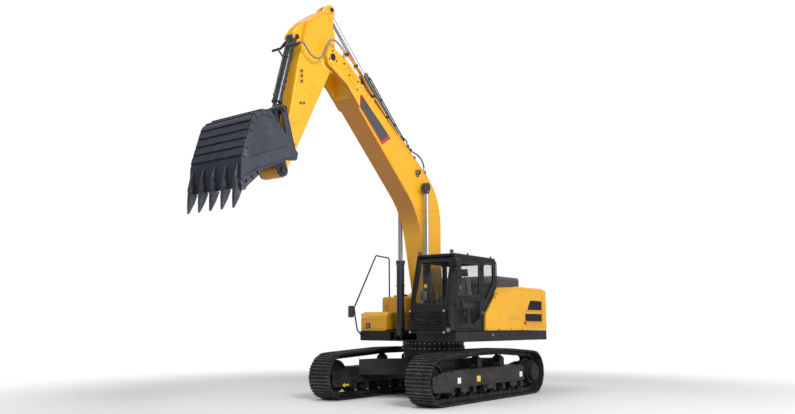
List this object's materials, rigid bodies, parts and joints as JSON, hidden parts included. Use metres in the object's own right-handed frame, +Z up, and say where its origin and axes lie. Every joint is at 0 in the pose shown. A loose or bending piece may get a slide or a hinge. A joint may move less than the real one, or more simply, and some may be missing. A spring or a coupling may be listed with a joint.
{
  "type": "crawler excavator",
  "caption": "Tracked excavator with a slewing upper body, cab, boom, arm, bucket and hydraulic cylinders, parked with its boom raised.",
  "frame": {"origin": "on the ground, on the swing axis", "axes": "+X towards the front, where the boom points; +Y towards the cab's side (left); +Z up"},
  "size_m": [10.014, 3.215, 8.1169],
  "materials": {
    "body_yellow": "satin",
    "frame_dark": "satin",
    "cab_dark": "satin",
    "track_steel": "matte",
    "running_gear": "matte",
    "tool_steel": "satin",
    "wear_steel": "matte",
    "cylinder_dark": "gloss",
    "rod_chrome": "polished",
    "pane_glass": "clear",
    "seat_fabric": "matte",
    "console_plastic": "matte",
    "engine_iron": "matte",
    "hose_rubber": "satin"
  },
  "bodies": {
    "undercarriage": {"left_track": "track_steel", "right_track": "track_steel", "front_idlers": "running_gear", "drive_sprockets": "running_gear", "final_drives": "frame_dark", "bottom_rollers": "running_gear", "carrier_rollers": "running_gear", "left_track_frame": "frame_dark", "right_track_frame": "frame_dark", "centre_frame": "frame_dark", "frame_legs": "frame_dark", "slew_ring_lower": "frame_dark"},
    "upperstructure": {"slew_ring_upper": "frame_dark", "revolving_frame": "frame_dark", "deck_plates": "frame_dark", "side_skirts": "frame_dark", "tail_skirt": "frame_dark", "counterweight": "body_yellow", "engine_block": "engine_iron", "left_front_panel": "body_yellow", "left_middle_panel": "body_yellow", "hood_top": "body_yellow", "fuel_tank": "body_yellow", "hydraulic_tank": "body_yellow", "tool_box": "body_yellow", "cab_frame": "cab_dark", "cab_roof": "cab_dark", "cab_floor": "console_plastic", "cab_glass": "pane_glass", "operator_seat": "seat_fabric", "control_consoles": "console_plastic", "travel_pedals": "console_plastic", "front_guard": "cab_dark", "handrail": "cab_dark", "mirrors": "cab_dark"},
    "cab_door": {"cab_door": "cab_dark", "cab_door_glass": "pane_glass"},
    "left_rear_door": {"left_rear_door": "body_yellow"},
    "right_rear_door": {"right_rear_door": "body_yellow"},
    "engine_cover": {"engine_cover": "cab_dark"},
    "tool_box_lid": {"tool_box_lid": "body_yellow"},
    "boom": {"boom": "body_yellow", "boom_hose_fittings": "cylinder_dark", "boom_hose_lower": "hose_rubber", "boom_hose_upper": "hose_rubber"},
    "boom_cylinder_barrels": {"boom_cylinder_barrels": "cylinder_dark"},
    "boom_cylinder_rods": {"boom_cylinder_rods": "rod_chrome"},
    "arm_cylinder_barrel": {"arm_cylinder_barrel": "cylinder_dark"},
    "arm_cylinder_rod": {"arm_cylinder_rod": "rod_chrome"},
    "arm": {"arm": "body_yellow", "arm_hose_fittings": "cylinder_dark", "arm_hose_left": "hose_rubber", "arm_hose_right": "hose_rubber"},
    "bucket_cylinder_barrel": {"bucket_cylinder_barrel": "cylinder_dark"},
    "bucket_cylinder_rod": {"bucket_cylinder_rod": "rod_chrome"},
    "rocker_links": {"rocker_links": "tool_steel"},
    "bucket_link": {"bucket_link": "tool_steel"},
    "bucket": {"bucket": "tool_steel", "bucket_teeth": "wear_steel", "side_cutters": "wear_steel"}
  },
  "joints": [
    {"name": "slew", "type": "hinge", "parent": "undercarriage", "child": "upperstructure", "pos_m": [0, 0, 0], "axis": [0, 0, 1], "continuous": true},
    {"name": "boom_lift", "type": "hinge", "parent": "upperstructure", "child": "boom", "pos_m": [0.15, 0, 1.95], "axis": [0, -1, 0], "range_deg": [-86, 10]},
    {"name": "boom_barrel_tilt", "type": "hinge", "parent": "upperstructure", "child": "boom_cylinder_barrels", "pos_m": [0.785, 0, 1.4], "axis": [0, -1, 0], "range_deg": [-90, 12]},
    {"name": "boom_rod_slide", "type": "slide", "parent": "boom_cylinder_barrels", "child": "boom_cylinder_rods", "axis": [0.0045, 0, 1], "range_m": [-1.17, 0.15]},
    {"name": "arm_curl", "type": "hinge", "parent": "boom", "child": "arm", "pos_m": [3.985, 0, 6.918], "axis": [0, 1, 0], "range_deg": [-66, 22]},
    {"name": "arm_barrel_tilt", "type": "hinge", "parent": "boom", "child": "arm_cylinder_barrel", "pos_m": [1.18, 0, 5.609], "axis": [0, 1, 0], "range_deg": [-4, 2]},
    {"name": "arm_rod_slide", "type": "slide", "parent": "arm_cylinder_barrel", "child": "arm_cylinder_rod", "axis": [0.7433, 0, 0.669], "range_m": [-1.2, 0.42]},
    {"name": "bucket_curl", "type": "hinge", "parent": "arm", "child": "bucket", "pos_m": [5.24, 0, 4.39], "axis": [0, 1, 0], "range_deg": [0, 165]},
    {"name": "bucket_barrel_tilt", "type": "hinge", "parent": "arm", "child": "bucket_cylinder_barrel", "pos_m": [4.838, 0, 7.112], "axis": [0, 1, 0], "range_deg": [-3, 1]},
    {"name": "bucket_rod_slide", "type": "slide", "parent": "bucket_cylinder_barrel", "child": "bucket_cylinder_rod", "axis": [0.2501, 0, -0.9682], "range_m": [-0.01, 1.17]},
    {"name": "rocker_swing", "type": "hinge", "parent": "arm", "child": "rocker_links", "pos_m": [5.02, 0, 4.88], "axis": [0, 1, 0], "range_deg": [-1, 108]},
    {"name": "link_swing", "type": "hinge", "parent": "rocker_links", "child": "bucket_link", "pos_m": [5.242, 0, 5.548], "axis": [0, 1, 0], "range_deg": [-62, 1]},
    {"name": "cab_door_hinge", "type": "hinge", "parent": "upperstructure", "child": "cab_door", "pos_m": [0.29, 1.504, 1.7], "axis": [0, 0, 1], "range_deg": [0, 165]},
    {"name": "left_door_hinge", "type": "hinge", "parent": "upperstructure", "child": "left_rear_door", "pos_m": [-2.728, 1.506, 2], "axis": [0, 0, 1], "range_deg": [0, 120]},
    {"name": "right_door_hinge", "type": "hinge", "parent": "upperstructure", "child": "right_rear_door", "pos_m": [-2.728, -1.506, 2], "axis": [0, 0, -1], "range_deg": [0, 120]},
    {"name": "engine_cover_hinge", "type": "hinge", "parent": "upperstructure", "child": "engine_cover", "pos_m": [-2.7, 0, 2.53], "axis": [0, -1, 0], "range_deg": [0, 60]},
    {"name": "tool_box_lid_hinge", "type": "hinge", "parent": "upperstructure", "child": "tool_box_lid", "pos_m": [0.08, -1.11, 1.945], "axis": [0, -1, 0], "range_deg": [0, 85]}
  ],
  "couplings": [
    {"joint": "boom_barrel_tilt", "follows": "boom_lift", "ratio": 1.0143},
    {"joint": "boom_rod_slide", "follows": "boom_lift", "m_per_rad": 0.76243},
    {"joint": "arm_barrel_tilt", "follows": "arm_curl", "ratio": 0.05},
    {"joint": "arm_rod_slide", "follows": "arm_curl", "m_per_rad": 1.0244},
    {"joint": "bucket_barrel_tilt", "follows": "bucket_curl", "ratio": -0.01},
    {"joint": "bucket_rod_slide", "follows": "bucket_curl", "m_per_rad": 0.39048},
    {"joint": "rocker_swing", "follows": "bucket_curl", "ratio": 0.64388},
    {"joint": "link_swing", "follows": "bucket_curl", "ratio": -0.3697}
  ]
}
